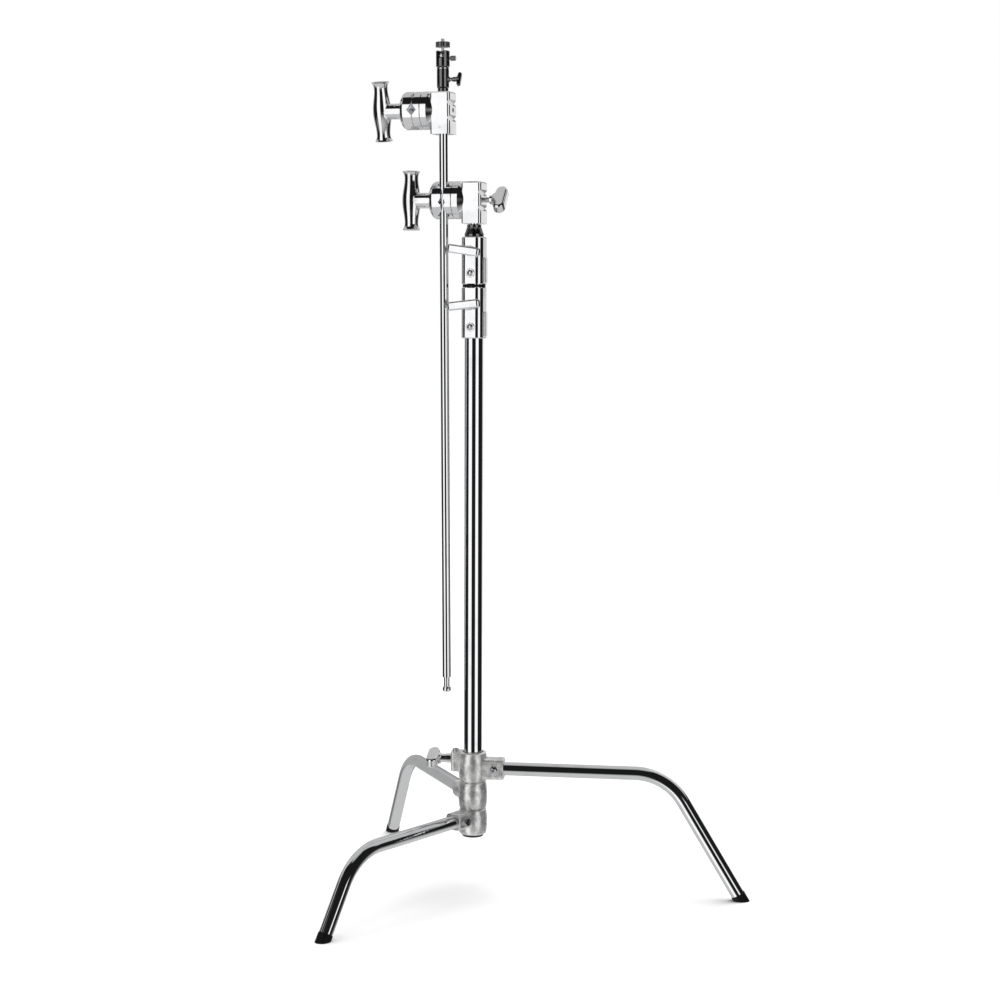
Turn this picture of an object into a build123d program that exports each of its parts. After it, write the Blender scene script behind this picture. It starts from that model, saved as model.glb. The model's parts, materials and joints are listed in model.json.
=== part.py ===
from build123d import *
import math
import os

# A sliding-leg C-stand with two grip heads, a long grip arm and a small ball head.
# Millimetres, +Z up. The stand is built around its column axis and is moved at the end
# so that the origin is at the centre of its footprint, on the floor.
# "Front" is the -Y side. Azimuths turn from +X towards +Y.

# ---------------------------------------------------------------- driving dimensions
RUN = 0.08  # radial clearance of a running fit
GAP = 0.3  # clearance between pieces that turn or slide past each other

# Column: the base tube and the two risers that slide inside it
COLUMN_R = 17.5
RISER_STEP = 2.5  # each riser's radius is this much less than the tube's around it
TUBE_WALL = 1.2
COLUMN_BOTTOM = 110.0
BASE_TUBE_LENGTH = 988.0
SEAT = 42.0  # how far a tube runs up into the collar on top of it
RISER_LIFT = 28.0  # a nested riser's bottom stands this far above the tube around it
LOWER_BUSHING_H = 25.0
LOWER_BUSHING_WALL = 2.0
CAP_PLATE_T = 3.0  # the cap that closes the base tube's lower end
CAP_RIM_H = 5.0
CAP_PLUG_H = 14.0

# Riser collars: cast clamps on top of the base tube and of riser 1
COLLAR_1_H = 95.0
COLLAR_2_H = 88.0
BUMPER_H = 5.0
COLLAR_WALL = 3.5  # the casting's flat sides stand this far outside the base tube
COLLAR_CORNER_R = 13.0
COLLAR_YAW = -19.0
COLLAR_LIP = 4.0
COLLAR_BUSHING_WALL = 2.0
COLLAR_RIB_W = 16.0
COLLAR_SCREW_R = 5.0
COLLAR_SCREW_ABOVE_SEAT = 20.0
COLLAR_BOSS_R = 10.0
COLLAR_BOSS_PROUD = 6.0
COLLAR_BOLT_Z = 21.0
COLLAR_BOLT_SHANK_R = 3.0
COLLAR_BOLT_HEAD_R = 6.2
BOLT_BOSS_R = 8.5
BOLT_BOSS_PROUD = 1.6
BRAKE_PAD_T = 3.0

# Stud on riser 2
STUD_BASE_H = 23.0
STUD_BASE_RIM = 5.5  # the cap's lower rim is this much wider than riser 2
STUD_BASE_R_TOP = 13.5
RISER_2_IN_STUD = 8.0
PIN_R = 7.94  # 5/8 inch baby pin
PIN_LENGTH = 69.0
PIN_GROOVE_R = 6.4
PIN_GROOVE_FROM_TIP = 30.0

# Legs: bent tubes at three heights, all with the same slope so that they nest
LEG_R = 12.7
LEG_WALL = 1.2
LEG_SLOPE = 59.0
LEG_BEND_R = 107.0
LEG_TIP = 10.0  # the tube stops this far up its own axis from the floor
FOOT_WALL = 1.0
FOOT_LENGTH = 13.5
FOOT_ROUNDING = 0.6
LOW_AZIMUTH = 232.0
MID_AZIMUTH = 112.0
TOP_AZIMUTH = -8.0
LOW_APEX = 335.0  # where the level run and the slope would meet, from the column axis
MID_APEX = 364.0
TOP_APEX = 371.0

# Leg castings, stacked on the column, each with a square-shouldered socket
CASTING_WALL = 8.0
CASTING_BULGE = 2.2
LOW_CASTING_H = 49.0
MID_CASTING_H = 53.0
TOP_CASTING_H = 57.0
LOW_LEG_UP = 32.0  # a leg's level run above the bottom of its casting
MID_LEG_UP = 26.0
TOP_LEG_UP = 25.0
LEG_IN_SOCKET = 36.0
SOCKET_WALL = 4.3
LOW_SOCKET_H = 31.0
TOP_SOCKET_H = 40.0
LEG_BOLT_R = 4.0
LINER_WALL = 2.0  # plastic liner of the sliding leg
EAR_REACH = 15.5  # the clamp ear, outside the sliding casting's barrel
EAR_W = 26.0
EAR_H = 38.0
EAR_SCREW_R = 5.0
EAR_SCREW_DOWN = 15.0  # below the casting's top
EAR_BOLT_R = 2.5

# Grip heads, in their own frame: the receiver bore is on Z, the jaws turn about X,
# and the handle is on the -X side
HEAD_ABOVE_STUD_BASE = 1.4
HEAD_YAW = -15.5
BLOCK_X = 19.0  # half the width of the flat-sided block
BLOCK_Y = 24.0
BLOCK_TOP = 33.0
BLOCK_BOTTOM = -44.0
NOTCH_HIGH = 13.0
NOTCH_LOW = -15.0
DISC_R = 35.0
DISC_T = 12.0
JAW_INNER_T = 15.0
JAW_OUTER_T = 27.0
JAW_BEVEL = 9.5
GROOVE_DEPTH = 9.3  # 90-degree V grooves for the arm
GROOVE_OFFSET = 20.0
SMALL_GROOVE_DEPTH = 5.0
SMALL_GROOVE_OFFSET = 25.0
SMALL_GROOVE_TURN = -37.5
CLOSED_JAW_GAP = 0.3
HEAD_SCREW_R = 6.0
THREAD_END = 13.0  # the handle's screw goes in to this distance from the bore's axis
PIN_SCREW_R = 4.5
ROLL_PIN_R = 2.5
ROLL_PIN_UP = 12.0  # above the block's bottom
WASHER_T = 2.0
STEM_R = 14.5
BAR_FROM_JAW = 40.5
BAR_HALF = 55.0
BAR_R_MIDDLE = 17.2
BAR_R_WAIST = 12.8
BAR_R_END = 16.6

# Grip arm
ARM_R = 8.0
ARM_WALL = 1.5
ARM_END_ABOVE_LEGS = 141.0
ARM_IN_RECEIVER = 29.5
ARM_LEAN = 1.44
ARM_STOP_NECK = 18.0
ARM_STOP_NECK_R = 5.5
ARM_STOP_H = 10.0
HEAD_SPACING = 164.5

# How far round each turning piece stands
UPPER_JAW_TURN = -55.2
UPPER_BAR_TURN = 10.0
COLLAR_1_KNOB_TURN = 6.0
COLLAR_2_KNOB_TURN = -8.0
LEG_KNOB_TURN = 74.0
PIN_KNOB_TURN = -43.0
RECEIVER_KNOB_TURN = -30.0

# T-knobs: the wing's size along the screw and across it, and its edge rounding
KNOB_W = 15.0
KNOB_T = 16.0
BIG_KNOB_W = 26.0  # the wings of the pin knob and of the sliding leg's knob
BIG_KNOB_T = 20.0
KNOB_ROUNDING = 0.24  # of the wing's thickness

# Ball head
RECEIVER_WALL = 3.4
RECEIVER_NECK_WALL = 2.0
RECEIVER_NECK_H = 8.0
RECEIVER_H = 41.0
RECEIVER_SCREW_Z = 22.0
RECEIVER_SCREW_R = 2.5
PAN_SCREW_R = 2.5
PAN_HEAD_R = 5.0
PAN_HEAD_T = 2.4
PAN_FLOOR = 6.0  # the housing's floor, under the pan screw's head
BALL_R = 9.0
BALL_ABOVE_FLOOR = 7.0
HOUSING_WALL = 3.8
NECK_R = 2.6
NECK_ROOM = 5.2
NECK_ABOVE_HOUSING = 6.0
LOCK_SCREW_R = 2.0
LOCK_GRIP_R = 4.7
LOCK_DOWN = 5.0  # the lock screw's axis, below the ball's centre
STUD_R = 3.175  # 1/4 inch thread
STUD_ROOT_R = 3.0  # where the wheel turns on it
STUD_ABOVE_WHEEL = 6.0
STUD_CHAMFER = 0.6
WHEEL_R = 13.3
WHEEL_H = 10.0

# ---------------------------------------------------------------- places that follow
RISER_1_R = COLUMN_R - RISER_STEP
RISER_2_R = RISER_1_R - RISER_STEP
COLUMN_TOP = COLUMN_BOTTOM + BASE_TUBE_LENGTH
COLLAR_HALF = COLUMN_R + COLLAR_WALL
COLLAR_1_BOTTOM = COLUMN_TOP - SEAT
COLLAR_2_BOTTOM = COLLAR_1_BOTTOM + COLLAR_1_H + BUMPER_H + GAP
COLLAR_2_TOP = COLLAR_2_BOTTOM + COLLAR_2_H
COLLAR_SCREW_Z = SEAT + COLLAR_SCREW_ABOVE_SEAT
COLLAR_BOSS_OUT = COLLAR_HALF + COLLAR_BOSS_PROUD
RISER_1_BOTTOM = COLUMN_BOTTOM + RISER_LIFT
RISER_1_TOP = COLLAR_2_BOTTOM + SEAT
RISER_2_BOTTOM = RISER_1_BOTTOM + RISER_LIFT
STUD_BASE_Z = COLLAR_2_TOP + GAP
STUD_BASE_TOP = STUD_BASE_Z + STUD_BASE_H
RISER_2_TOP = STUD_BASE_Z + RISER_2_IN_STUD

CASTING_R = COLUMN_R + CASTING_WALL
CASTING_BORE_R = COLUMN_R + RUN
LINER_R = CASTING_BORE_R + LINER_WALL
LEG_START = LINER_R + RUN + 4.34
LEG_BOLT_X = LEG_START + LEG_IN_SOCKET / 2
SOCKET_OUT = LEG_START + LEG_IN_SOCKET
SOCKET_W = 2 * (LEG_R + SOCKET_WALL)
FOOT_R = LEG_R + FOOT_WALL
MID_CASTING_BOTTOM = COLUMN_BOTTOM + LOW_CASTING_H
TOP_CASTING_BOTTOM = MID_CASTING_BOTTOM + MID_CASTING_H
TOP_CASTING_TOP = TOP_CASTING_BOTTOM + TOP_CASTING_H
LOW_HEIGHT = COLUMN_BOTTOM + LOW_LEG_UP
MID_HEIGHT = MID_CASTING_BOTTOM + MID_LEG_UP
TOP_HEIGHT = TOP_CASTING_BOTTOM + TOP_LEG_UP
EAR_OUT = CASTING_R + EAR_REACH
EAR_TOP = TOP_CASTING_TOP - GAP / 2
EAR_BOLT_X = EAR_OUT - 8.0
EAR_SCREW_Z = TOP_CASTING_TOP - EAR_SCREW_DOWN

LOWER_HEAD_Z = STUD_BASE_TOP + HEAD_ABOVE_STUD_BASE - BLOCK_BOTTOM
DISC_NEAR = -BLOCK_X - 5.0
DISC_FAR = DISC_NEAR - DISC_T
INNER_FACE = DISC_FAR - GAP - JAW_INNER_T
ARM_BELOW = LOWER_HEAD_Z - TOP_CASTING_TOP - ARM_END_ABOVE_LEGS
RECEIVER_ABOVE_HEAD = BLOCK_TOP + 1.0
ARM_ABOVE = HEAD_SPACING + RECEIVER_ABOVE_HEAD + ARM_IN_RECEIVER
ARM_TO_VALLEY = (ARM_R + RUN) * math.sqrt(2)  # the arm's axis from the groove's bottom
ARM_X = INNER_FACE - ARM_TO_VALLEY + GROOVE_DEPTH
LOWER_JAW_GAP = 2 * (ARM_TO_VALLEY - GROOVE_DEPTH)

RECEIVER_R = ARM_R + RECEIVER_WALL
HOUSING_R = BALL_R + HOUSING_WALL
HOUSING_H = PAN_FLOOR + BALL_ABOVE_FLOOR + 2 * BALL_R
BALL_Z = HOUSING_H - BALL_R
LOCK_Z = BALL_Z - LOCK_DOWN
NECK_TOP = BALL_R + NECK_ABOVE_HOUSING  # above the ball's centre

STANDING = (Align.CENTER, Align.CENTER, Align.MIN)
COLLAR_TURN = Rot(0, 0, COLLAR_YAW)
LOWER_HEAD = Pos(0, 0, LOWER_HEAD_Z) * Rot(0, 0, HEAD_YAW)
LOWER_JAWS = LOWER_HEAD * Rot(ARM_LEAN, 0, 0)
ARM = LOWER_JAWS * Pos(ARM_X, -GROOVE_OFFSET, 0)
UPPER_HEAD = ARM * Pos(0, 0, HEAD_SPACING)
RECEIVER = UPPER_HEAD * Pos(0, 0, RECEIVER_ABOVE_HEAD)
HOUSING = RECEIVER * Pos(0, 0, RECEIVER_H + WASHER_T + GAP)
BALL = HOUSING * Pos(0, 0, BALL_Z)


# ---------------------------------------------------------------- small shared shapes
def post(radius, bottom, top):
    """An upright round bar between two heights."""
    return Pos(0, 0, bottom) * Cylinder(radius, top - bottom, align=STANDING)


def ring(outer, inner, bottom, top):
    return post(outer, bottom, top) - post(inner, bottom - 1, top + 1)


def along_x(shape):
    """Lays an upright shape down, so that its +Z points along +X."""
    return Rot(0, 90, 0) * shape


def to_front(shape):
    """Lays an upright shape down, so that its +Z points along -Y."""
    return Rot(90, 0, 0) * shape


def lathe(profile):
    """Turns an outline of (radius, height) points, with its axis on Z."""
    outline = make_face(Polyline(*[(r, 0, z) for r, z in profile], close=True))
    return revolve(outline, Axis.Z)


def block(width, depth, bottom, top, corner):
    """An upright block with rounded vertical corners."""
    sketch = Pos(0, 0, bottom) * RectangleRounded(width, depth, corner)
    return extrude(sketch, top - bottom)


def hex_socket(radius, depth):
    return extrude(RegularPolygon(radius, 6), depth)


def t_knob(screw_r, screw, shaft_r, shaft, hub_r, hub, span, width=KNOB_W, thick=KNOB_T):
    """A T-shaped clamp screw: its tip is at the origin and its bar is on +X, upright.

    screw, shaft and hub are lengths in turn, and the bar's middle is at the hub's end.
    span is the bar from tip to tip, width is along the screw and thick is across both.
    """
    shank = along_x(post(screw_r, 0, screw))
    neck = along_x(post(shaft_r, screw, screw + shaft))
    boss = along_x(post(hub_r, screw + shaft, screw + shaft + hub))
    middle = screw + shaft + hub
    tip_r = width * 0.42
    side = span / 2
    shoulder = side - tip_r
    waist = hub_r * 0.8
    inner = middle - tip_r
    outer = middle + tip_r
    root = inner - width * 0.2
    side_curve = TangentArc((inner, 0, shoulder), (root, 0, waist), tangent=(0, 0, -1))
    side_curve += ThreePointArc((inner, 0, shoulder), (middle, 0, side), (outer, 0, shoulder))
    outline = side_curve + Rot(180, 0, 0) * side_curve
    outline += Line((outer, 0, shoulder), (outer, 0, -shoulder))
    outline += Line((root, 0, waist), (root, 0, -waist))
    wing = extrude(make_face(outline), thick / 2, both=True)
    rims = wing.faces().filter_by(Axis.Y).edges()
    return shank + neck + boss + fillet(rims, thick * KNOB_ROUNDING)


def hex_head(across, height):
    """A hexagon head that stands on its washer face, with its corners cut to a cone."""
    body = extrude(RegularPolygon(across / 2, 6, major_radius=False), height)
    crown = Cone(across * 0.62, across * 0.42, height, align=STANDING)
    return body & (crown + post(across * 0.6, 0, height * 0.6))


def pan_head(radius, height):
    """A domed round head that stands on its flat."""
    dome_r = (radius**2 + height**2) / (2 * height)
    dome = Pos(0, 0, height - dome_r) * Sphere(dome_r)
    return dome & post(radius, 0, height + 1)


# ---------------------------------------------------------------- column
def tube(radius, bottom, top):
    return ring(radius, radius - TUBE_WALL, bottom, top)


def base_tube_cap():
    bore_r = COLUMN_R - TUBE_WALL
    plug = ring(bore_r, bore_r - CAP_PLATE_T, COLUMN_BOTTOM, COLUMN_BOTTOM + CAP_PLUG_H)
    plate = post(bore_r, COLUMN_BOTTOM, COLUMN_BOTTOM + CAP_PLATE_T)
    rim = post(COLUMN_R + CAP_PLATE_T, COLUMN_BOTTOM - CAP_RIM_H, COLUMN_BOTTOM)
    rim = fillet(rim.edges().group_by(Axis.Z)[0], 2)
    return plug + plate + rim


def lower_bushing(tube_r, riser_r, bottom):
    """The plastic guide at a riser's bottom: it plugs the riser and slides in the tube."""
    slide_r = tube_r - TUBE_WALL - RUN
    plug_r = riser_r - TUBE_WALL
    bore_r = plug_r - LOWER_BUSHING_WALL
    flange = ring(slide_r, bore_r, bottom - 3, bottom)
    return flange + ring(plug_r, bore_r, bottom, bottom + LOWER_BUSHING_H)


# ---------------------------------------------------------------- riser collars
def bushing_r(riser_r):
    return riser_r + RUN + COLLAR_BUSHING_WALL


def collar_screw_hole(length):
    """The clamp screw's hole, from the riser's axis towards -Y."""
    return Pos(0, 0, COLLAR_SCREW_Z) * to_front(post(COLLAR_SCREW_R + RUN, 0, length))


def collar_casting(tube_r, riser_r, height):
    """A clamp casting, with its bottom at z = 0 and its screw side facing -Y."""
    body = block(2 * COLLAR_HALF, 2 * COLLAR_HALF, 0, height, COLLAR_CORNER_R)
    rim = body.edges().group_by(Axis.Z)
    body = chamfer(rim[0] + rim[-1], 1.5)
    rib = Pos(COLLAR_HALF, 0, 0) * block(7, COLLAR_RIB_W, 4, SEAT + 8, 3)
    body += fillet(rib.edges().group_by(Axis.Z)[-1], 2)
    for z, radius, out in (
        (COLLAR_SCREW_Z, COLLAR_BOSS_R, COLLAR_BOSS_OUT),
        (COLLAR_BOLT_Z, BOLT_BOSS_R, COLLAR_HALF + BOLT_BOSS_PROUD),
    ):
        boss = Pos(0, 0, z) * to_front(post(radius, 0, out))
        body += chamfer(boss.edges().group_by(Axis.Y)[0], 1)
    lip_bottom = height - COLLAR_LIP
    body -= post(tube_r, -1, SEAT)
    body -= post(bushing_r(riser_r), SEAT - 1, lip_bottom)
    body -= post(riser_r + GAP, lip_bottom - 1, height + 1)
    body -= collar_screw_hole(COLLAR_BOSS_OUT + 1)
    bolt_hole_length = COLLAR_HALF + BOLT_BOSS_PROUD + 1
    return body - Pos(0, 0, COLLAR_BOLT_Z) * to_front(post(COLLAR_BOLT_SHANK_R, 0, bolt_hole_length))


def collar_bushing(riser_r, height):
    sleeve = ring(bushing_r(riser_r), riser_r + RUN, SEAT, height - COLLAR_LIP)
    return sleeve - collar_screw_hole(2 * COLLAR_HALF)


def brake_pad(riser_r):
    """The brass slug between the clamp screw and the riser."""
    slug = post(COLLAR_SCREW_R, riser_r + 0.1, riser_r + BRAKE_PAD_T)
    return Pos(0, 0, COLLAR_SCREW_Z) * to_front(slug)


def collar_bolt(tube_r):
    seat = COLLAR_HALF + BOLT_BOSS_PROUD
    shank = post(COLLAR_BOLT_SHANK_R, tube_r, seat)
    head = Pos(0, 0, seat) * pan_head(COLLAR_BOLT_HEAD_R, 3.2)
    head -= Pos(0, 0, seat + 1.6) * hex_socket(2.5, 4)
    return Pos(0, 0, COLLAR_BOLT_Z) * to_front(shank + head)


def collar_knob(riser_r, turn):
    """The collar's T-knob, on -Y, with its wing turned from level."""
    tip = riser_r + BRAKE_PAD_T + 0.1
    screw = COLLAR_BOSS_OUT - tip + 2
    knob = t_knob(COLLAR_SCREW_R, screw, shaft_r=5.5, shaft=12, hub_r=8, hub=16, span=64)
    return Pos(0, -tip, COLLAR_SCREW_Z) * Rot(0, 0, -90) * Rot(90 + turn, 0, 0) * knob


# ---------------------------------------------------------------- stud
def stud_base():
    """The black conical cap on riser 2 that carries the pin."""
    bottom = STUD_BASE_Z
    top = STUD_BASE_TOP
    rim_r = RISER_2_R + STUD_BASE_RIM
    profile = [
        (0, bottom),
        (rim_r - 1, bottom),
        (rim_r, bottom + 1),
        (rim_r, bottom + 5),
        (STUD_BASE_R_TOP, top - 5),
        (STUD_BASE_R_TOP, top - 1),
        (STUD_BASE_R_TOP - 1, top),
        (0, top),
    ]
    cone = lathe(profile)
    cone -= post(RISER_2_R, bottom - 1, RISER_2_TOP)
    return cone - post(PIN_R, bottom - 1, top + 1)


def baby_pin():
    low = RISER_2_TOP
    high = STUD_BASE_TOP + PIN_LENGTH
    groove = high - PIN_GROOVE_FROM_TIP
    profile = [
        (0, low),
        (PIN_R, low),
        (PIN_R, groove - 8),
        (PIN_GROOVE_R, groove - 6),
        (PIN_GROOVE_R, groove + 6),
        (PIN_R, groove + 8),
        (PIN_R, high - 1.5),
        (PIN_R - 1.5, high),
        (0, high),
    ]
    return lathe(profile)


# ---------------------------------------------------------------- legs
def leg_tube(height, apex):
    """A bent leg in the XZ plane: level from the casting, then down to the floor."""
    slope = math.radians(LEG_SLOPE)
    drop = height - LEG_TIP * math.sin(slope)
    start = (LEG_START, 0, height)
    bend = (apex, 0, height)
    end = (apex + drop / math.tan(slope), 0, height - drop)
    path = FilletPolyline(start, bend, end, radius=LEG_BEND_R)
    mouth = Plane(origin=start, z_dir=(1, 0, 0))
    outer = sweep(mouth * Circle(LEG_R), path=path)
    bore = sweep(mouth * Circle(LEG_R - LEG_WALL), path=path)
    return outer - bore - leg_bolt_hole(height)


def leg_foot(height, apex):
    """The rubber cap on a leg's end, cut flat where it stands on the floor."""
    reach = apex + height / math.tan(math.radians(LEG_SLOPE))
    lie = Pos(reach, 0, 0) * Rot(0, -(90 - LEG_SLOPE), 0)
    sleeve = post(FOOT_R, -FOOT_LENGTH, FOOT_LENGTH)
    sleeve = fillet(sleeve.edges().group_by(Axis.Z)[-1], FOOT_ROUNDING)
    cap = lie * (sleeve - post(LEG_R, LEG_TIP, FOOT_LENGTH + 1))
    above_floor = Pos(reach, 0, 0) * Box(200, 200, 100, align=STANDING)
    return cap & above_floor


def barrel(bottom, top, bore_r):
    """A cast sleeve on the column, bulging a little between its ends."""
    middle = (bottom + top) / 2
    edge = 2.0
    low_edge = (CASTING_R, 0, bottom + edge)
    high_edge = (CASTING_R, 0, top - edge)
    ends = Polyline(
        high_edge,
        (CASTING_R - edge, 0, top),
        (bore_r, 0, top),
        (bore_r, 0, bottom),
        (CASTING_R - edge, 0, bottom),
        low_edge,
    )
    side = ThreePointArc(low_edge, (CASTING_R + CASTING_BULGE, 0, middle), high_edge)
    return revolve(make_face(ends + side), Axis.Z)


def socket(height, tall, bore_r):
    """The square-shouldered socket that holds a leg, on +X."""
    shell = along_x(block(tall, SOCKET_W, 0, SOCKET_OUT, 7))
    shell = fillet(shell.edges().group_by(Axis.X)[-1], 2)
    shell = Pos(0, 0, height) * shell
    return shell - post(bore_r, height - tall, height + tall)


def leg_bolt_hole(height):
    hole = to_front(post(LEG_BOLT_R, -SOCKET_W, SOCKET_W))
    return Pos(LEG_BOLT_X, 0, height) * hole


def leg_casting(bottom, tall, height, socket_h, bore_r=CASTING_BORE_R):
    body = barrel(bottom + GAP / 2, bottom + tall - GAP / 2, bore_r)
    body += socket(height, socket_h, bore_r)
    body -= Pos(LEG_START, 0, height) * along_x(post(LEG_R, 0, SOCKET_OUT))
    return body - leg_bolt_hole(height)


def leg_bolt(height):
    """The bolt that holds a leg in its socket, with its domed head on the -Y side."""
    half = SOCKET_W / 2
    shank = post(LEG_BOLT_R, -half - 1, half)
    head = Pos(0, 0, half) * pan_head(2 * LEG_BOLT_R, 5.0)
    head -= Pos(0, 0, half + 2.5) * hex_socket(3.5, 6)
    nut = Pos(0, 0, -half - 6) * hex_head(13, 6)
    return Pos(LEG_BOLT_X, 0, height) * to_front(shank + head + nut)


def top_casting():
    """The sliding casting: a leg socket on one side, a clamp ear on the other."""
    bore_r = LINER_R + RUN
    body = leg_casting(TOP_CASTING_BOTTOM, TOP_CASTING_H, TOP_HEIGHT, TOP_SOCKET_H, bore_r)
    ear_in = 14.0
    ear_middle = (EAR_OUT + ear_in) / 2
    ear = Pos(-ear_middle, 0, 0) * block(EAR_OUT - ear_in, EAR_W, EAR_TOP - EAR_H, EAR_TOP, 5)
    ear = fillet(ear.edges().group_by(Axis.Z)[0], 2)
    body += ear - post(bore_r, EAR_TOP - EAR_H - 1, EAR_TOP + 1)
    screw_hole = along_x(post(EAR_SCREW_R + RUN, -EAR_OUT - 1, 0))
    bolt_hole = post(EAR_BOLT_R, EAR_TOP - 12, EAR_TOP + 1)
    return body - Pos(0, 0, EAR_SCREW_Z) * screw_hole - Pos(-EAR_BOLT_X, 0, 0) * bolt_hole


def ear_bolt():
    """The small cap screw on top of the clamp ear, which keeps the wing screw captive."""
    shank = post(EAR_BOLT_R, EAR_TOP - 8, EAR_TOP)
    head = post(6, EAR_TOP, EAR_TOP + 4.5)
    head = fillet(head.edges().group_by(Axis.Z)[-1], 1.2)
    head -= Pos(0, 0, EAR_TOP + 2) * hex_socket(2.6, 6)
    return Pos(-EAR_BOLT_X, 0, 0) * (shank + head)


def leg_liner():
    """The plastic sleeve that slides on the column and carries the sliding casting."""
    sleeve = ring(LINER_R, CASTING_BORE_R, TOP_CASTING_BOTTOM + GAP, TOP_CASTING_TOP - GAP)
    window = Pos(0, 0, EAR_SCREW_Z) * along_x(post(EAR_SCREW_R + 1, -2 * CASTING_R, 0))
    return sleeve - Rot(0, 0, TOP_AZIMUTH) * window


def leg_knob():
    tip = LINER_R + 1
    screw = EAR_OUT - tip + 1
    knob = t_knob(EAR_SCREW_R, screw, 9, 9, 8, 26, 54, BIG_KNOB_W, BIG_KNOB_T)
    return Pos(-tip, 0, EAR_SCREW_Z) * Rot(0, 0, 180) * Rot(LEG_KNOB_TURN, 0, 0) * knob


# ---------------------------------------------------------------- grip heads
def head_body(bore_r):
    """The casting: a receiver block, a flange for the jaws and a threaded spigot."""
    body = block(2 * BLOCK_X, 2 * BLOCK_Y, BLOCK_BOTTOM, BLOCK_TOP, 5)
    body = chamfer(body.edges().group_by(Axis.Z)[-1], 2.2)
    notch = Pos(BLOCK_X + 1.5, 0, 0) * Rot(0, 45, 0) * Box(10, 4 * BLOCK_Y, 10)
    for z in (NOTCH_HIGH, NOTCH_LOW):
        body -= Pos(0, 0, z) * notch
    flange = [
        (0, DISC_NEAR + DISC_T),
        (BLOCK_Y - 2, DISC_NEAR + DISC_T),
        (DISC_R, DISC_NEAR),
        (DISC_R, DISC_FAR + 0.8),
        (DISC_R - 0.8, DISC_FAR),
        (0, DISC_FAR),
    ]
    body += along_x(lathe(flange))
    body -= post(bore_r, BLOCK_BOTTOM - 1, BLOCK_TOP + 1)
    body -= along_x(post(HEAD_SCREW_R + RUN, DISC_FAR - 1, -THREAD_END))
    return body - along_x(post(PIN_SCREW_R + RUN, 0, BLOCK_X + 1))


def groove(depth, offset, face):
    """A V groove across a jaw face, running along Z at -offset in Y."""
    edge = depth * math.sqrt(2)
    return Pos(face, -offset, 0) * Rot(0, 0, 45) * Box(edge, edge, 4 * DISC_R)


def jaw_grooves(face):
    big = groove(GROOVE_DEPTH, GROOVE_OFFSET, face)
    small = groove(SMALL_GROOVE_DEPTH, SMALL_GROOVE_OFFSET, face)
    return big + Rot(180, 0, 0) * big + Rot(SMALL_GROOVE_TURN, 0, 0) * small


def inner_jaw():
    back = DISC_FAR - GAP
    plate = along_x(post(DISC_R, INNER_FACE, back))
    plate = chamfer(plate.edges(), 0.8)
    bore = along_x(post(HEAD_SCREW_R + GAP, INNER_FACE - 1, back + 1))
    return plate - bore - jaw_grooves(INNER_FACE)


def outer_jaw():
    """The pressure plate, with its face on x = 0 and its bevelled side towards -X."""
    far = -JAW_OUTER_T
    profile = [
        (HEAD_SCREW_R + GAP, 0),
        (DISC_R - 0.8, 0),
        (DISC_R, -0.8),
        (DISC_R, far + JAW_BEVEL),
        (DISC_R - 3.2, far + JAW_BEVEL - 5),
        (DISC_R - 9, far + 1.2),
        (DISC_R - 12, far),
        (HEAD_SCREW_R + GAP, far),
    ]
    return along_x(lathe(profile)) - jaw_grooves(0)


def jaw_washer():
    """The thrust washer between handle and pressure plate, in the plate's frame."""
    near = -JAW_OUTER_T - GAP / 2
    return along_x(ring(STEM_R - 1, HEAD_SCREW_R + GAP, near - WASHER_T, near))


def handle():
    """The T-handle casting, in the pressure plate's frame, bar upright."""
    bar_x = -JAW_OUTER_T - BAR_FROM_JAW
    end = BAR_HALF
    side = Spline(
        (BAR_R_MIDDLE, 0, 0),
        (BAR_R_MIDDLE - 0.7, 0, end * 0.22),
        ((BAR_R_MIDDLE + BAR_R_WAIST) / 2 - 0.75, 0, end * 0.48),
        (BAR_R_WAIST, 0, end * 0.72),
        (BAR_R_WAIST + 0.6, 0, end * 0.86),
        (BAR_R_END, 0, end - 1.2),
    )
    cap = Polyline(
        (BAR_R_END, 0, end - 1.2),
        (BAR_R_END - 0.8, 0, end),
        (0, 0, end),
        (0, 0, 0),
        (BAR_R_MIDDLE, 0, 0),
    )
    top = revolve(make_face(side + cap), Axis.Z)
    bar = top + Rot(180, 0, 0) * top
    near = -JAW_OUTER_T - GAP - WASHER_T
    length = near - bar_x
    stem = lathe([(0, 0), (STEM_R + 1.5, 0), (STEM_R, length * 0.45), (STEM_R, length), (0, length)])
    body = Pos(bar_x, 0, 0) * (bar + along_x(stem))
    return body - along_x(post(HEAD_SCREW_R, bar_x + 10, near + 1))


def head_screw(jaw_gap):
    """The threaded stud from the handle into the casting, in the head's frame."""
    bar_x = INNER_FACE - jaw_gap - JAW_OUTER_T - BAR_FROM_JAW
    return along_x(post(HEAD_SCREW_R, bar_x + 10, -THREAD_END - 2))


def pin_knob():
    tip = PIN_R + RUN + 0.1
    screw = BLOCK_X - tip + 2
    knob = t_knob(PIN_SCREW_R, screw, 4.5, 10, 8.5, 20, 56, BIG_KNOB_W, BIG_KNOB_T)
    return Pos(tip, 0, 0) * Rot(PIN_KNOB_TURN, 0, 0) * knob


def roll_pin(length):
    """The pin that fixes the upper head to its arm, in the upper head's frame."""
    pin = to_front(post(ROLL_PIN_R, -length / 2, length / 2))
    return Pos(0, 0, BLOCK_BOTTOM + ROLL_PIN_UP) * pin


# ---------------------------------------------------------------- grip arm
def grip_arm():
    rod = ring(ARM_R, ARM_R - ARM_WALL, -ARM_BELOW, ARM_ABOVE)
    rod += post(ARM_R, ARM_ABOVE - 6, ARM_ABOVE)
    return rod - Pos(0, 0, HEAD_SPACING) * roll_pin(4 * BLOCK_Y)


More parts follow.
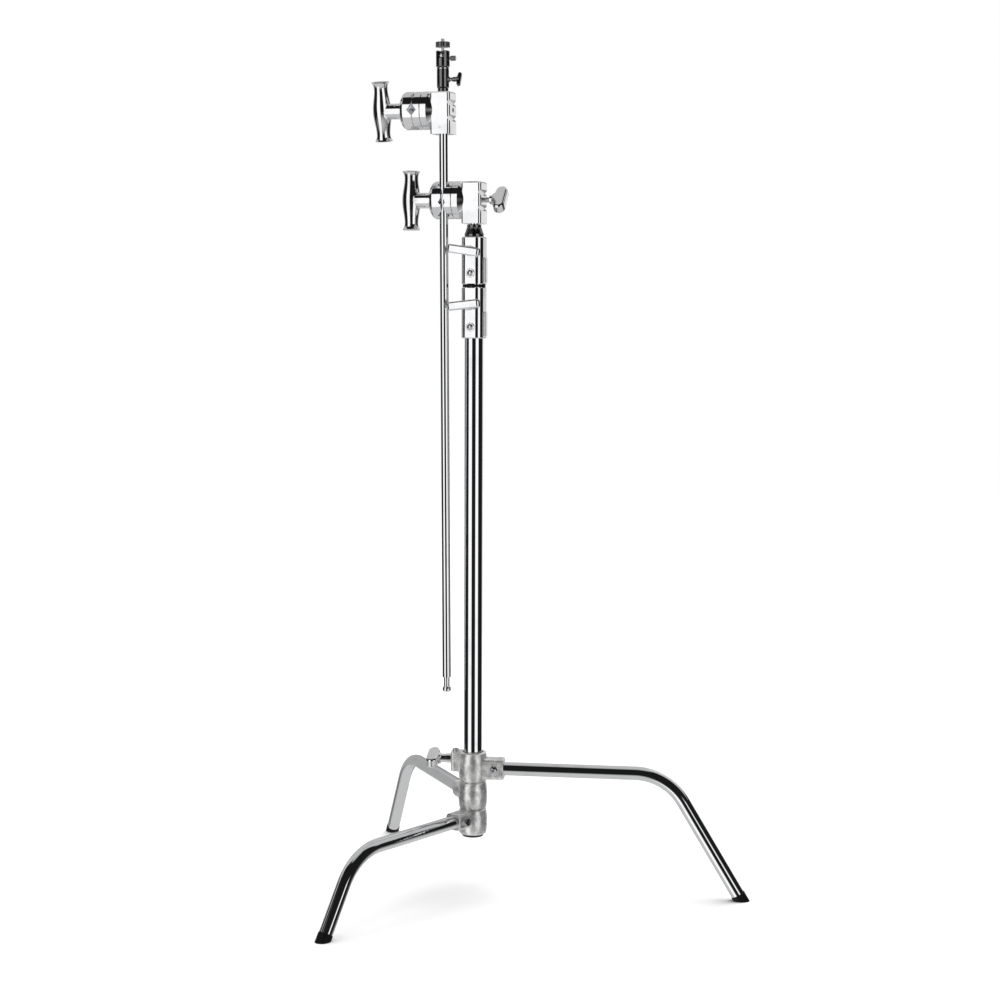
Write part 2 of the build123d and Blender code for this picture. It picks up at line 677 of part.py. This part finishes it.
def arm_end_stop():
    """The turned stop that is screwed into the arm's lower end."""
    low = -ARM_BELOW
    collar_top = low - ARM_STOP_NECK
    foot = collar_top - ARM_STOP_H
    plug_r = ARM_R - ARM_WALL
    stop_r = ARM_R - RUN
    profile = [
        (0, low + 12),
        (plug_r, low + 12),
        (plug_r, low),
        (ARM_STOP_NECK_R, low),
        (ARM_STOP_NECK_R, collar_top),
        (ARM_R - 1, collar_top - 1),
        (stop_r, collar_top - 4),
        (stop_r, foot + 2),
        (ARM_R - 2, foot),
        (0, foot),
    ]
    return lathe(profile)


# ---------------------------------------------------------------- ball head
def receiver():
    """The socket that drops over the arm's top, with its bottom at z = 0."""
    neck_r = ARM_R + RECEIVER_NECK_WALL
    profile = [
        (0, 0),
        (neck_r, 0),
        (neck_r, RECEIVER_NECK_H - 2),
        (RECEIVER_R, RECEIVER_NECK_H),
        (RECEIVER_R, RECEIVER_H - 1),
        (RECEIVER_R - 1, RECEIVER_H),
        (0, RECEIVER_H),
    ]
    socket_top = ARM_IN_RECEIVER + GAP
    shell = lathe(profile) - post(ARM_R + RUN, -1, socket_top)
    boss = along_x(post(2 * RECEIVER_SCREW_R, ARM_R + 2, RECEIVER_R + 2))
    screw_hole = along_x(post(RECEIVER_SCREW_R + RUN, 0, 2 * RECEIVER_R))
    shell += Pos(0, 0, RECEIVER_SCREW_Z) * boss
    shell -= Pos(0, 0, RECEIVER_SCREW_Z) * screw_hole
    return shell - post(PAN_SCREW_R, socket_top, RECEIVER_H + 1)


def receiver_knob():
    tip = ARM_R + RUN + 0.1
    screw = RECEIVER_R + 3 - tip
    knob = t_knob(
        RECEIVER_SCREW_R, screw, shaft_r=3.4, shaft=5, hub_r=4.5, hub=12, span=28, width=8.5, thick=7
    )
    return Pos(tip, 0, RECEIVER_SCREW_Z) * Rot(RECEIVER_KNOB_TURN, 0, 0) * knob


def pan_washer():
    return ring(RECEIVER_R, PAN_SCREW_R, RECEIVER_H, RECEIVER_H + WASHER_T)


def ball_housing():
    """The ball's socket, with its bottom at z = 0 and a tilt slot on its -Y side."""
    top = HOUSING_H
    bore_r = PAN_SCREW_R + RUN
    profile = [
        (bore_r, 0),
        (HOUSING_R - 2.5, 0),
        (HOUSING_R, 2.5),
        (HOUSING_R, top - 1.2),
        (HOUSING_R - 1.2, top),
        (0, top),
        (0, PAN_FLOOR),
        (bore_r, PAN_FLOOR),
    ]
    shell = lathe(profile)
    shell -= Pos(0, 0, BALL_Z) * Sphere(BALL_R + RUN)
    shell -= post(PAN_HEAD_R + GAP, PAN_FLOOR, BALL_Z)
    shell -= post(NECK_ROOM, BALL_Z, top + 1)
    slot = Box(2 * NECK_ROOM, 2 * HOUSING_R, top, align=(Align.CENTER, Align.MAX, Align.MIN))
    shell -= Pos(0, 0, BALL_Z - NECK_ROOM + 0.5) * slot
    return shell - Pos(0, 0, LOCK_Z) * along_x(post(LOCK_SCREW_R + RUN, BALL_R - 1, 2 * HOUSING_R))


def pan_screw():
    """The screw on which the housing pans, in the housing's frame."""
    seat = PAN_FLOOR + 0.1
    shank = post(PAN_SCREW_R, -WASHER_T - GAP - 8, seat)
    return shank + post(PAN_HEAD_R, seat, seat + PAN_HEAD_T)


def ball_stem():
    """Ball, neck and thread in one turned piece, with the ball's centre at z = 0."""
    neck = post(NECK_R, 0, NECK_TOP + 1)
    wheel_top = NECK_TOP + WHEEL_H
    root = post(STUD_ROOT_R, NECK_TOP, wheel_top + 1)
    thread = post(STUD_R, wheel_top + GAP, wheel_top + STUD_ABOVE_WHEEL)
    thread = chamfer(thread.edges().group_by(Axis.Z)[-1], STUD_CHAMFER)
    return Sphere(BALL_R) + neck + root + thread


def fluted(grip, flutes, flute_r, at_r, bottom, top):
    """Cuts a ring of upright flutes into a round grip."""
    for i in range(flutes):
        grip -= Rot(0, 0, i * 360 / flutes) * Pos(at_r, 0, 0) * post(flute_r, bottom - 1, top + 1)
    return grip


def platform_wheel():
    """The fluted wheel that locks what is screwed onto the stud."""
    low = NECK_TOP
    high = low + WHEEL_H
    disc = fillet(post(WHEEL_R, low, high).edges(), 1.2)
    disc = fluted(disc, 24, 1.1, WHEEL_R + 0.4, low, high)
    return disc - post(STUD_ROOT_R + RUN, low - 1, high + 1)


def lock_knob():
    """The small fluted screw that locks the ball."""
    near = HOUSING_R + 2
    shank = post(LOCK_SCREW_R, BALL_R + GAP, near)
    grip = fillet(post(LOCK_GRIP_R, near, near + 10).edges(), 1)
    grip = fluted(grip, 12, 0.9, LOCK_GRIP_R + 0.5, near, near + 10)
    return Pos(0, 0, LOCK_Z) * along_x(shank + grip)


# ---------------------------------------------------------------- the whole stand
def column_nodes():
    return {
        "base_tube": tube(COLUMN_R, COLUMN_BOTTOM, COLUMN_TOP),
        "base_tube_cap": base_tube_cap(),
        "riser_1_tube": tube(RISER_1_R, RISER_1_BOTTOM, RISER_1_TOP),
        "riser_1_lower_bushing": lower_bushing(COLUMN_R, RISER_1_R, RISER_1_BOTTOM),
        "riser_2_tube": tube(RISER_2_R, RISER_2_BOTTOM, RISER_2_TOP),
        "riser_2_lower_bushing": lower_bushing(RISER_1_R, RISER_2_R, RISER_2_BOTTOM),
        "stud_base": stud_base(),
        "baby_pin": baby_pin(),
    }


def collar_nodes(number, bottom, tube_r, riser_r, height, knob_turn):
    place = Pos(0, 0, bottom) * COLLAR_TURN
    name = f"collar_{number}"
    return {
        f"{name}_casting": place * collar_casting(tube_r, riser_r, height),
        f"{name}_bushing": place * collar_bushing(riser_r, height),
        f"{name}_brake_pad": place * brake_pad(riser_r),
        f"{name}_bolt": place * collar_bolt(tube_r),
        f"{name}_knob": place * collar_knob(riser_r, knob_turn),
    }


def leg_nodes():
    nodes = {}
    legs = (
        ("low", LOW_AZIMUTH, LOW_HEIGHT, LOW_APEX),
        ("mid", MID_AZIMUTH, MID_HEIGHT, MID_APEX),
        ("top", TOP_AZIMUTH, TOP_HEIGHT, TOP_APEX),
    )
    castings = {
        "low": leg_casting(COLUMN_BOTTOM, LOW_CASTING_H, LOW_HEIGHT, LOW_SOCKET_H),
        "mid": leg_casting(MID_CASTING_BOTTOM, MID_CASTING_H, MID_HEIGHT, LOW_SOCKET_H),
        "top": top_casting(),
    }
    for name, azimuth, height, apex in legs:
        turn = Rot(0, 0, azimuth)
        nodes[f"{name}_leg_casting"] = turn * castings[name]
        nodes[f"{name}_leg_tube"] = turn * leg_tube(height, apex)
        nodes[f"{name}_leg_foot"] = turn * leg_foot(height, apex)
        nodes[f"{name}_leg_bolt"] = turn * leg_bolt(height)
    nodes["sliding_leg_liner"] = leg_liner()
    nodes["sliding_leg_ear_bolt"] = Rot(0, 0, TOP_AZIMUTH) * ear_bolt()
    nodes["sliding_leg_knob"] = Rot(0, 0, TOP_AZIMUTH) * leg_knob()
    return nodes


def head_nodes(name, head, jaws, bar_turn, jaw_gap, bore_r):
    """One grip head: head and jaws are the places of its casting and of its jaws."""
    plate = Pos(INNER_FACE - jaw_gap, 0, 0)
    spin = head * Rot(bar_turn, 0, 0)
    return {
        f"{name}_body": head * head_body(bore_r),
        f"{name}_inner_jaw": jaws * inner_jaw(),
        f"{name}_outer_jaw": jaws * plate * outer_jaw(),
        f"{name}_washer": jaws * plate * jaw_washer(),
        f"{name}_screw": spin * head_screw(jaw_gap),
        f"{name}_handle": spin * plate * handle(),
    }


def grip_nodes():
    nodes = head_nodes("lower_head", LOWER_HEAD, LOWER_JAWS, 0, LOWER_JAW_GAP, PIN_R + RUN)
    nodes["lower_head_pin_knob"] = LOWER_HEAD * pin_knob()
    upper_jaws = UPPER_HEAD * Rot(UPPER_JAW_TURN, 0, 0)
    nodes |= head_nodes("upper_head", UPPER_HEAD, upper_jaws, UPPER_BAR_TURN, CLOSED_JAW_GAP, ARM_R)
    nodes["upper_head_body"] -= UPPER_HEAD * roll_pin(4 * BLOCK_Y)
    nodes["upper_head_roll_pin"] = UPPER_HEAD * roll_pin(2 * BLOCK_Y)
    nodes["grip_arm"] = ARM * grip_arm()
    nodes["arm_end_stop"] = ARM * arm_end_stop()
    return nodes


def ball_head_nodes():
    return {
        "receiver": RECEIVER * receiver(),
        "receiver_knob": RECEIVER * receiver_knob(),
        "pan_washer": RECEIVER * pan_washer(),
        "pan_screw": HOUSING * pan_screw(),
        "ball_housing": HOUSING * ball_housing(),
        "ball_lock_knob": HOUSING * lock_knob(),
        "ball_stem": BALL * ball_stem(),
        "platform_wheel": BALL * platform_wheel(),
    }


def stand_nodes():
    nodes = column_nodes()
    nodes |= collar_nodes(1, COLLAR_1_BOTTOM, COLUMN_R, RISER_1_R, COLLAR_1_H, COLLAR_1_KNOB_TURN)
    nodes |= collar_nodes(2, COLLAR_2_BOTTOM, RISER_1_R, RISER_2_R, COLLAR_2_H, COLLAR_2_KNOB_TURN)
    bumper_bottom = COLLAR_2_BOTTOM - BUMPER_H
    nodes["riser_bumper"] = ring(COLLAR_HALF + 0.5, RISER_1_R, bumper_bottom, COLLAR_2_BOTTOM)
    nodes |= leg_nodes()
    nodes |= grip_nodes()
    nodes |= ball_head_nodes()
    return nodes


def footprint_centre(nodes):
    boxes = [shape.bounding_box() for shape in nodes.values()]
    low = [min(getattr(box.min, axis) for box in boxes) for axis in "XY"]
    high = [max(getattr(box.max, axis) for box in boxes) for axis in "XY"]
    return [(a + b) / 2 for a, b in zip(low, high)]


NODES = stand_nodes()
CENTRE = footprint_centre(NODES)
TO_ROW = Pos(-CENTRE[0], -CENTRE[1], 0)

os.makedirs("parts", exist_ok=True)
for node, shape in NODES.items():
    export_step(TO_ROW * shape, f"parts/{node}.step")
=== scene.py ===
"""A sliding-leg C-stand with grip heads, arm and ball head: looks, light and camera.

Metres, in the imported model's frame. The stand is chrome plate over steel, polished head
castings, grey base castings and black fittings, on a pale floor under soft studio light.
"""

import json
import math

import bmesh
import bpy
from mathutils import Matrix, Vector


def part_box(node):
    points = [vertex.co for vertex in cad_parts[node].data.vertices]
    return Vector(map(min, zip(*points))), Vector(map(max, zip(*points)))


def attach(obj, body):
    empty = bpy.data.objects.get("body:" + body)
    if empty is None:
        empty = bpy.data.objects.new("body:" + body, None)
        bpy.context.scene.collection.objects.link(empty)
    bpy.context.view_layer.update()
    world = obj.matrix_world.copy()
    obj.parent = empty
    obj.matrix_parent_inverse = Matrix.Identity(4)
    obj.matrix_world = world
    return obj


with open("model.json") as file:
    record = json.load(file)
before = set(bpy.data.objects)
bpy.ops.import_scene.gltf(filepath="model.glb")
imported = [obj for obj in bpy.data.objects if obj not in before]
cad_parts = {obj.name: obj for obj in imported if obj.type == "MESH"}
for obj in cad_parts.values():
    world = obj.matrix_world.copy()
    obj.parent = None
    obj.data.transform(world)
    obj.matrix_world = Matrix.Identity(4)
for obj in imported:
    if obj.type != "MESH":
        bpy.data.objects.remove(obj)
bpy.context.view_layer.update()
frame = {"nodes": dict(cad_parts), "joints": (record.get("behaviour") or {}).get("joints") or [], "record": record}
NODES = frame["nodes"]
JOINTS = {joint["name"]: joint for joint in frame["joints"]}
SLOT_OF = {part["node"]: part["material_slot"] for part in frame["record"]["subparts"]}

# ---------------------------------------------------------------- camera and light sizes
LENS = 72.7  # mm, on a 36 mm sensor
CAMERA_FROM_COLUMN = (0.050, -3.802, 0.988)  # metres, from the column's lower end
CAMERA_PITCH = -5.21  # degrees
CAMERA_ROLL = 0.21
FLOOR_RADIUS = 9.0
FLOOR_DROP = 0.0005  # keeps the floor just clear of the feet
FLOOR_LIGHT = 3.4  # watts per square metre, from straight above
SUN_ANGLE = 70  # degrees, so wide that shadows are only a faint smear
SUN_TILT = (-12, 10)

# The studio as polished metal sees it: bearings from the camera's side, positive to the
# right, and heights above the horizon, all in degrees
PANELS = (
    # (from, to, lowest, highest, brightness)
    (-64, -22, -42, 34, 1.15),  # the left softbox
    (24, 60, -24, 11, 1.15),  # the right softbox, a lower one
    (-200, -128, -90, 90, 0.42),  # the pale wall behind, left and right
    (132, 200, -90, 90, 0.25),
    (140, 160, -30, 60, 0.85),  # a bright strip of it, which lights the right-hand faces
    (-200, -96, 22, 90, 0.57),  # its upper part, which is lit from above
    (96, 200, 22, 90, 0.57),
    (-200, 200, 74, 90, 0.45),  # the ceiling light
)
PANEL_EDGE = 6.0  # degrees over which a panel fades
SURROUND = 0.012
FLOOR_GLOW = 0.62
FLOOR_FADE = (-42, -12)  # the floor's reflection is bright below, and dark above


# The threads that show between a knob's boss and what its screw goes into
THREADS = (
    # (knob node, its joint, what the screw goes into, the screw's radius, pitch)
    ("lower_head_pin_knob", "pin_knob_turn", "lower_head_body", 0.0045, 0.0015),
    ("collar_1_knob", "collar_1_knob_turn", "collar_1_casting", 0.0055, 0.00175),
    ("collar_2_knob", "collar_2_knob_turn", "collar_2_casting", 0.0055, 0.00175),
    ("receiver_knob", "receiver_knob_turn", "receiver", 0.0034, 0.001),
)
THREAD_DEPTH = 0.35  # of the pitch
THREAD_WIDTH = 0.8  # of the pitch, at the root
THREAD_STEPS = 24  # in a turn
SAME_RADIUS = 0.0002  # a point this near a screw's radius, in metres, is on its surface
HOLE_RIM = 0.004  # a hole's edge is within this of the screw in it


# ---------------------------------------------------------------- node helpers
def add(tree, kind, settings=None, **sockets):
    """Adds a shader node. settings are its attributes, sockets its inputs by name."""
    node = tree.nodes.new(kind)
    for name, value in (settings or {}).items():
        setattr(node, name, value)
    for name, value in sockets.items():
        socket = node.inputs[name.replace("_", " ")]
        if isinstance(value, bpy.types.NodeSocket):
            tree.links.new(value, socket)
        else:
            socket.default_value = value
    return node


def calc(tree, operation, *values):
    """Adds a Math node on numbers or sockets, and gives its output."""
    node = tree.nodes.new("ShaderNodeMath")
    node.operation = operation
    for socket, value in zip(node.inputs, values):
        if isinstance(value, bpy.types.NodeSocket):
            tree.links.new(value, socket)
        else:
            socket.default_value = value
    return node.outputs[0]


def ramp(tree, value, low, high, start=0.0, end=1.0):
    """Carries value smoothly from start at low to end at high."""
    node = add(tree, "ShaderNodeMapRange", {"interpolation_type": "SMOOTHSTEP"}, Value=value)
    for name, number in (("From Min", low), ("From Max", high), ("To Min", start), ("To Max", end)):
        node.inputs[name].default_value = number
    return node.outputs["Result"]


def band(tree, value, low, high, soft):
    """1 between low and high, 0 outside, with soft edges."""
    rise = ramp(tree, value, low - soft / 2, low + soft / 2)
    fall = ramp(tree, value, high - soft / 2, high + soft / 2, 1.0, 0.0)
    return calc(tree, "MULTIPLY", rise, fall)


# ---------------------------------------------------------------- studio
def make_camera(foot):
    """The photograph's view: foot is the lower end of the column."""
    data = bpy.data.cameras.new("photo_camera")
    data.lens = LENS
    data.sensor_width = 36.0
    camera = bpy.data.objects.new("photo_camera", data)
    bpy.context.scene.collection.objects.link(camera)
    camera.location = foot + Vector(CAMERA_FROM_COLUMN)
    look = Matrix.Rotation(math.radians(90 + CAMERA_PITCH), 4, "X")
    roll = Matrix.Rotation(math.radians(CAMERA_ROLL), 4, "Z")
    camera.rotation_euler = (look @ roll).to_euler()
    bpy.context.scene.camera = camera


def make_world():
    """White to the camera; to polished metal, a dark studio with softboxes and pale walls."""
    world = bpy.data.worlds.new("studio")
    bpy.context.scene.world = world
    world.use_nodes = True
    tree = world.node_tree
    tree.nodes.clear()
    direction = add(tree, "ShaderNodeTexCoord").outputs["Generated"]
    x, y, z = add(tree, "ShaderNodeSeparateXYZ", Vector=direction).outputs
    towards = calc(tree, "MULTIPLY", y, -1.0)
    bearing = calc(tree, "DEGREES", calc(tree, "ARCTAN2", x, towards))
    height = calc(tree, "DEGREES", calc(tree, "ARCSINE", z))
    light = calc(tree, "MAXIMUM", ramp(tree, height, *FLOOR_FADE, FLOOR_GLOW, 0.0), SURROUND)
    for left, right, low, high, brightness in PANELS:
        across = band(tree, bearing, left, right, PANEL_EDGE)
        upright = band(tree, height, low, high, PANEL_EDGE)
        lit = calc(tree, "MULTIPLY", calc(tree, "MULTIPLY", across, upright), brightness)
        light = calc(tree, "MAXIMUM", light, lit)
    seen = add(tree, "ShaderNodeLightPath").outputs["Is Camera Ray"]
    strength = add(tree, "ShaderNodeMix", Factor=seen)
    tree.links.new(light, strength.inputs["A"])
    strength.inputs["B"].default_value = 1.0
    back_drop = add(tree, "ShaderNodeBackground", Color=(1, 1, 1, 1))
    tree.links.new(strength.outputs["Result"], back_drop.inputs["Strength"])
    out = add(tree, "ShaderNodeOutputWorld")
    tree.links.new(back_drop.outputs[0], out.inputs["Surface"])


def make_floor(foot):
    """A white paper disc that polished metal doesn't mirror: the world stands in for it."""
    mesh = bpy.data.meshes.new("floor")
    shape = bmesh.new()
    bmesh.ops.create_circle(shape, cap_ends=True, segments=96, radius=FLOOR_RADIUS)
    shape.to_mesh(mesh)
    shape.free()
    floor = bpy.data.objects.new("floor", mesh)
    bpy.context.scene.collection.objects.link(floor)
    floor.location = (foot.x, foot.y, -FLOOR_DROP)
    floor.visible_glossy = False
    material = bpy.data.materials.new("pale_floor")
    material.use_nodes = True
    paper = material.node_tree.nodes["Principled BSDF"]
    paper.inputs["Base Color"].default_value = (0.9, 0.9, 0.9, 1)
    paper.inputs["Roughness"].default_value = 0.9
    paper.inputs["Specular IOR Level"].default_value = 0.1
    mesh.materials.append(material)


def make_overhead_light():
    """Soft light from above, which shows in no reflection."""
    data = bpy.data.lights.new("overhead", "SUN")
    data.energy = FLOOR_LIGHT
    data.angle = math.radians(SUN_ANGLE)
    lamp = bpy.data.objects.new("overhead", data)
    lamp.rotation_euler = (*(math.radians(tilt) for tilt in SUN_TILT), 0)
    lamp.visible_glossy = False
    bpy.context.scene.collection.objects.link(lamp)


# ---------------------------------------------------------------- materials
def new_material(name, metallic, colour, roughness):
    """A material with its Principled shader, and a place in metres on the object."""
    material = bpy.data.materials.new(name)
    material.use_nodes = True
    tree = material.node_tree
    surface = tree.nodes["Principled BSDF"]
    surface.inputs["Metallic"].default_value = metallic
    surface.inputs["Base Color"].default_value = (*colour, 1)
    surface.inputs["Roughness"].default_value = roughness
    place = add(tree, "ShaderNodeTexCoord").outputs["Object"]
    return material, tree, surface, place


def noise(tree, place, per_metre, detail=3.0, roughness=0.5):
    texture = add(tree, "ShaderNodeTexNoise", Vector=place, Scale=per_metre, Detail=detail)
    texture.inputs["Roughness"].default_value = roughness
    return texture.outputs["Fac"]


def stretched(tree, place, scale):
    """The same place with its axes scaled, so that a texture is drawn out along one."""
    mapping = add(tree, "ShaderNodeMapping", Vector=place)
    mapping.inputs["Scale"].default_value = scale
    return mapping.outputs["Vector"]


def bump(tree, surface, height, strength, depth):
    node = add(tree, "ShaderNodeBump", Height=height, Strength=strength, Distance=depth)
    tree.links.new(node.outputs["Normal"], surface.inputs["Normal"])


def colour_between(tree, factor, dark, light):
    mix = add(tree, "ShaderNodeMix", {"data_type": "RGBA"})
    tree.links.new(factor, mix.inputs["Factor"])
    mix.inputs["A"].default_value = (*dark, 1)
    mix.inputs["B"].default_value = (*light, 1)
    return mix.outputs["Result"]


def chrome_plate():
    """Bright plate: handling smudges in patches, and fine rubbed scratches along Z."""
    material, tree, surface, place = new_material("chrome_plate", 1.0, (0.8, 0.81, 0.82), 0.05)
    smudge = ramp(tree, noise(tree, place, 26.0, 4.0), 0.5, 0.75)
    scratch = noise(tree, stretched(tree, place, (1.0, 1.0, 0.04)), 900.0, 2.0)
    worn = ramp(tree, scratch, 0.58, 0.72)
    dull = calc(tree, "ADD", calc(tree, "MULTIPLY", smudge, 0.03), calc(tree, "MULTIPLY", worn, 0.02))
    tree.links.new(calc(tree, "ADD", dull, 0.035), surface.inputs["Roughness"])
    tint = colour_between(tree, smudge, (0.83, 0.84, 0.85), (0.74, 0.75, 0.77))
    tree.links.new(tint, surface.inputs["Base Color"])
    bump(tree, surface, scratch, 0.015, 0.0001)
    return material


def polished_casting():
    """Plated casting, buffed but not flat: slow ripples and a few soft pits."""
    material, tree, surface, place = new_material("polished_casting", 1.0, (0.82, 0.82, 0.84), 0.08)
    ripple = noise(tree, place, 70.0, 2.0)
    pits = ramp(tree, noise(tree, place, 600.0, 2.0), 0.68, 0.8)
    smudge = ramp(tree, noise(tree, place, 30.0, 4.0), 0.45, 0.75)
    rough = calc(tree, "ADD", calc(tree, "MULTIPLY", smudge, 0.07), 0.06)
    tree.links.new(calc(tree, "ADD", rough, calc(tree, "MULTIPLY", pits, 0.2)), surface.inputs["Roughness"])
    tint = colour_between(tree, smudge, (0.86, 0.86, 0.87), (0.75, 0.76, 0.78))
    tree.links.new(tint, surface.inputs["Base Color"])
    relief = calc(tree, "SUBTRACT", calc(tree, "MULTIPLY", ripple, 0.8), calc(tree, "MULTIPLY", pits, 0.3))
    bump(tree, surface, relief, 0.14, 0.0004)
    return material


def grey_casting():
    """Sand-cast iron under bright plate: grainy, lumpy, darker in the hollows."""
    material, tree, surface, place = new_material("grey_casting", 0.75, (0.82, 0.82, 0.81), 0.35)
    lumps = noise(tree, place, 90.0, 3.0)
    grain = noise(tree, place, 900.0, 4.0, 0.7)
    height = calc(tree, "ADD", calc(tree, "MULTIPLY", lumps, 1.2), calc(tree, "MULTIPLY", grain, 0.35))
    tree.links.new(ramp(tree, grain, 0.35, 0.7, 0.22, 0.42), surface.inputs["Roughness"])
    tint = colour_between(tree, ramp(tree, height, 0.55, 0.95), (0.6, 0.6, 0.59), (0.95, 0.95, 0.94))
    tree.links.new(tint, surface.inputs["Base Color"])
    bump(tree, surface, height, 0.55, 0.0008)
    return material


def black_metal():
    """Gloss black finish with faint orange peel, and rubbed lighter in places."""
    material, tree, surface, place = new_material("black_metal", 0.0, (0.008, 0.008, 0.009), 0.2)
    surface.inputs["Coat Weight"].default_value = 1.0
    surface.inputs["Coat Roughness"].default_value = 0.1
    surface.inputs["Coat IOR"].default_value = 2.2
    peel = noise(tree, place, 1400.0, 2.0)
    rubbed = ramp(tree, noise(tree, place, 160.0, 4.0), 0.55, 0.75)
    tree.links.new(ramp(tree, rubbed, 0.0, 1.0, 0.2, 0.38), surface.inputs["Roughness"])
    tint = colour_between(tree, rubbed, (0.006, 0.006, 0.007), (0.02, 0.02, 0.022))
    tree.links.new(tint, surface.inputs["Base Color"])
    bump(tree, surface, peel, 0.15, 0.0001)
    return material


def black_plastic():
    """Moulded plastic with a fine spark-eroded grain."""
    material, tree, surface, place = new_material("black_plastic", 0.0, (0.02, 0.02, 0.02), 0.45)
    grain = noise(tree, place, 2200.0, 3.0)
    tree.links.new(ramp(tree, grain, 0.3, 0.7, 0.36, 0.55), surface.inputs["Roughness"])
    tint = colour_between(tree, noise(tree, place, 200.0), (0.016, 0.016, 0.017), (0.03, 0.03, 0.03))
    tree.links.new(tint, surface.inputs["Base Color"])
    bump(tree, surface, grain, 0.3, 0.0002)
    return material


def black_rubber():
    """Moulded rubber: matt, finely grained, dusted with wear near the floor."""
    material, tree, surface, place = new_material("black_rubber", 0.0, (0.005, 0.005, 0.005), 0.5)
    surface.inputs["Specular IOR Level"].default_value = 0.25
    grain = noise(tree, place, 1800.0, 4.0)
    scuffs = ramp(tree, noise(tree, place, 240.0, 5.0, 0.7), 0.52, 0.72)
    height = add(tree, "ShaderNodeSeparateXYZ", Vector=place).outputs["Z"]
    low = ramp(tree, height, 0.0, 0.012, 1.0, 0.0)
    dust = calc(tree, "MULTIPLY", scuffs, low)
    tint = colour_between(tree, dust, (0.004, 0.004, 0.004), (0.02, 0.02, 0.019))
    tree.links.new(tint, surface.inputs["Base Color"])
    tree.links.new(ramp(tree, grain, 0.3, 0.7, 0.42, 0.62), surface.inputs["Roughness"])
    bump(tree, surface, grain, 0.35, 0.0003)
    return material


def brass():
    """Turned brass: bands of tool marks round Z."""
    material, tree, surface, place = new_material("brass", 1.0, (0.75, 0.56, 0.26), 0.25)
    turning = noise(tree, stretched(tree, place, (1.0, 1.0, 12.0)), 300.0, 2.0)
    tree.links.new(ramp(tree, turning, 0.3, 0.7, 0.18, 0.35), surface.inputs["Roughness"])
    bump(tree, surface, turning, 0.1, 0.0001)
    return material


def zinc_steel():
    """Bright zinc plate on bolts, washers and screws, slightly cloudy."""
    material, tree, surface, place = new_material("zinc_steel", 1.0, (0.66, 0.67, 0.69), 0.2)
    cloud = noise(tree, place, 180.0, 4.0)
    tree.links.new(ramp(tree, cloud, 0.3, 0.7, 0.12, 0.3), surface.inputs["Roughness"])
    tint = colour_between(tree, cloud, (0.6, 0.61, 0.63), (0.74, 0.75, 0.76))
    tree.links.new(tint, surface.inputs["Base Color"])
    bump(tree, surface, noise(tree, place, 1200.0), 0.08, 0.0001)
    return material


def paint_nodes():
    """Gives every CAD node the material of its slot in the record."""
    makers = {
        "chrome_tube": chrome_plate,
        "polished_casting": polished_casting,
        "grey_casting": grey_casting,
        "black_metal": black_metal,
        "black_plastic": black_plastic,
        "black_rubber": black_rubber,
        "brass": brass,
        "steel": zinc_steel,
    }
    materials = {name: make() for name, make in makers.items()}
    for name, obj in NODES.items():
        for slot in obj.material_slots:
            slot.material = materials[SLOT_OF[name]]
    return materials


# ---------------------------------------------------------------- screw threads
def from_axis(node, start, axis):
    """How far along an axis, and how far from it, each of a node's points is."""
    for vertex in NODES[node].data.vertices:
        reach = vertex.co - start
        along = reach.dot(axis)
        yield along, (reach - along * axis).length


def bare_screw(knob, joint, holder, radius):
    """Where a knob's screw leaves its holder, which way it goes, and its bare length."""
    start = Vector(JOINTS[joint]["pos_m"])
    axis = Vector(JOINTS[joint]["axis"]).normalized()
    places = list(from_axis(knob, start, axis))
    wing = max(places, key=lambda place: place[1])[0]
    if wing - min(places)[0] < max(places)[0] - wing:
        axis = -axis
        places = [(-along, away) for along, away in places]
    boss = max(along for along, away in places if abs(away - radius) < SAME_RADIUS)
    rim = [along for along, away in from_axis(holder, start, axis) if away < radius + HOLE_RIM]
    face = max(along for along in rim if along < boss)
    return start + face * axis, axis, boss - face


def make_thread(knob, joint, holder, radius, pitch):
    """A triangular ridge wound along the bare screw, which turns with its knob."""
    start, axis, length = bare_screw(knob, joint, holder, radius)
    half = pitch * THREAD_WIDTH / 2
    crest = radius + pitch * THREAD_DEPTH
    frame_turn = axis.to_track_quat("Z", "Y")
    steps = int((length - 2 * half) / pitch * THREAD_STEPS)
    shape = bmesh.new()
    sections = []
    for step in range(steps + 1):
        turn = 2 * math.pi * step / THREAD_STEPS
        middle = half + pitch * step / THREAD_STEPS
        section = []
        for away, along in ((radius, middle - half), (crest, middle), (radius, middle + half)):
            point = Vector((away * math.cos(turn), away * math.sin(turn), along))
            section.append(shape.verts.new(start + frame_turn @ point))
        sections.append(section)
    for near, far in zip(sections, sections[1:]):
        for a, b in ((0, 1), (1, 2), (2, 0)):
            shape.faces.new((near[a], near[b], far[b], far[a]))
    shape.faces.new(reversed(sections[0]))
    shape.faces.new(sections[-1])
    bmesh.ops.recalc_face_normals(shape, faces=shape.faces)
    mesh = bpy.data.meshes.new(knob + "_thread")
    shape.to_mesh(mesh)
    shape.free()
    mesh.materials.append(MATERIALS["steel"])
    thread = bpy.data.objects.new(knob + "_thread", mesh)
    bpy.context.scene.collection.objects.link(thread)
    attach(thread, JOINTS[joint]["child"])


# ---------------------------------------------------------------- the scene
low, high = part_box("base_tube")
FOOT = Vector(((low.x + high.x) / 2, (low.y + high.y) / 2, low.z))
bpy.context.scene.view_settings.view_transform = "Standard"

make_camera(FOOT)
make_world()
make_floor(FOOT)
make_overhead_light()
MATERIALS = paint_nodes()
for knob_row in THREADS:
    make_thread(*knob_row)
